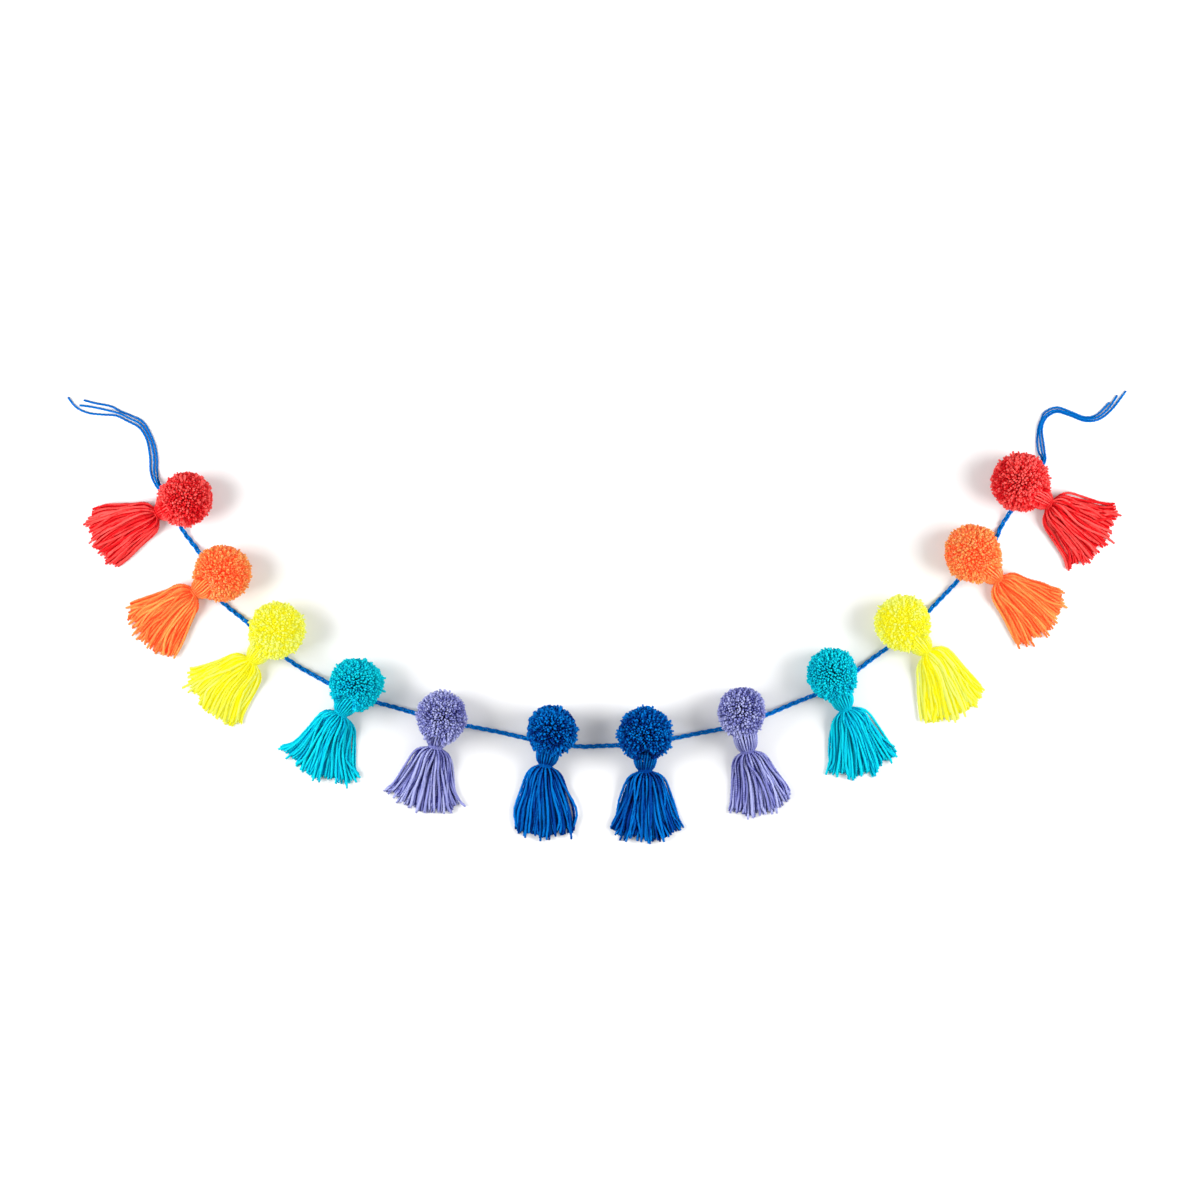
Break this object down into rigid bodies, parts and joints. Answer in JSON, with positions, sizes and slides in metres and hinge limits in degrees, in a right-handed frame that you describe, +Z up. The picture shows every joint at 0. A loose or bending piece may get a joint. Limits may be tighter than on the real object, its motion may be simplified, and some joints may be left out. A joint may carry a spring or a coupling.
{
  "type": "pom pom tassel garland",
  "caption": "Yarn pompoms in rainbow colours on a plaited cord, each with a fanned yarn tassel below it, laid flat in a shallow curve with loose tie ends.",
  "frame": {"origin": "on the table, under the middle of the outline of the pompoms and tassels, seen from above", "axes": "+X along the garland from the left red unit to the right one, +Y away from the tassels towards the tie ends, +Z up from the table"},
  "size_m": [0.9552, 0.4074, 0.0512],
  "materials": {
    "red_yarn": "matte",
    "orange_yarn": "matte",
    "yellow_yarn": "matte",
    "turquoise_yarn": "matte",
    "lavender_yarn": "matte",
    "blue_yarn": "matte"
  },
  "bodies": {
    "root": {"pompom_red_left": "red_yarn", "tassel_red_left": "red_yarn", "tie_red_left": "red_yarn", "pompom_orange_left": "orange_yarn", "tassel_orange_left": "orange_yarn", "tie_orange_left": "orange_yarn", "pompom_yellow_left": "yellow_yarn", "tassel_yellow_left": "yellow_yarn", "tie_yellow_left": "yellow_yarn", "pompom_turquoise_left": "turquoise_yarn", "tassel_turquoise_left": "turquoise_yarn", "tie_turquoise_left": "turquoise_yarn", "pompom_lavender_left": "lavender_yarn", "tassel_lavender_left": "lavender_yarn", "tie_lavender_left": "lavender_yarn", "pompom_blue_left": "blue_yarn", "tassel_blue_left": "blue_yarn", "tie_blue_left": "blue_yarn", "pompom_blue_right": "blue_yarn", "tassel_blue_right": "blue_yarn", "tie_blue_right": "blue_yarn", "pompom_lavender_right": "lavender_yarn", "tassel_lavender_right": "lavender_yarn", "tie_lavender_right": "lavender_yarn", "pompom_turquoise_right": "turquoise_yarn", "tassel_turquoise_right": "turquoise_yarn", "tie_turquoise_right": "turquoise_yarn", "pompom_yellow_right": "yellow_yarn", "tassel_yellow_right": "yellow_yarn", "tie_yellow_right": "yellow_yarn", "pompom_orange_right": "orange_yarn", "tassel_orange_right": "orange_yarn", "tie_orange_right": "orange_yarn", "pompom_red_right": "red_yarn", "tassel_red_right": "red_yarn", "tie_red_right": "red_yarn", "cord_plait": "blue_yarn", "tail_left_1": "blue_yarn", "tail_left_2": "blue_yarn", "tail_left_3": "blue_yarn", "tail_right_1": "blue_yarn", "tail_right_2": "blue_yarn", "tail_right_3": "blue_yarn"}
  },
  "joints": []
}
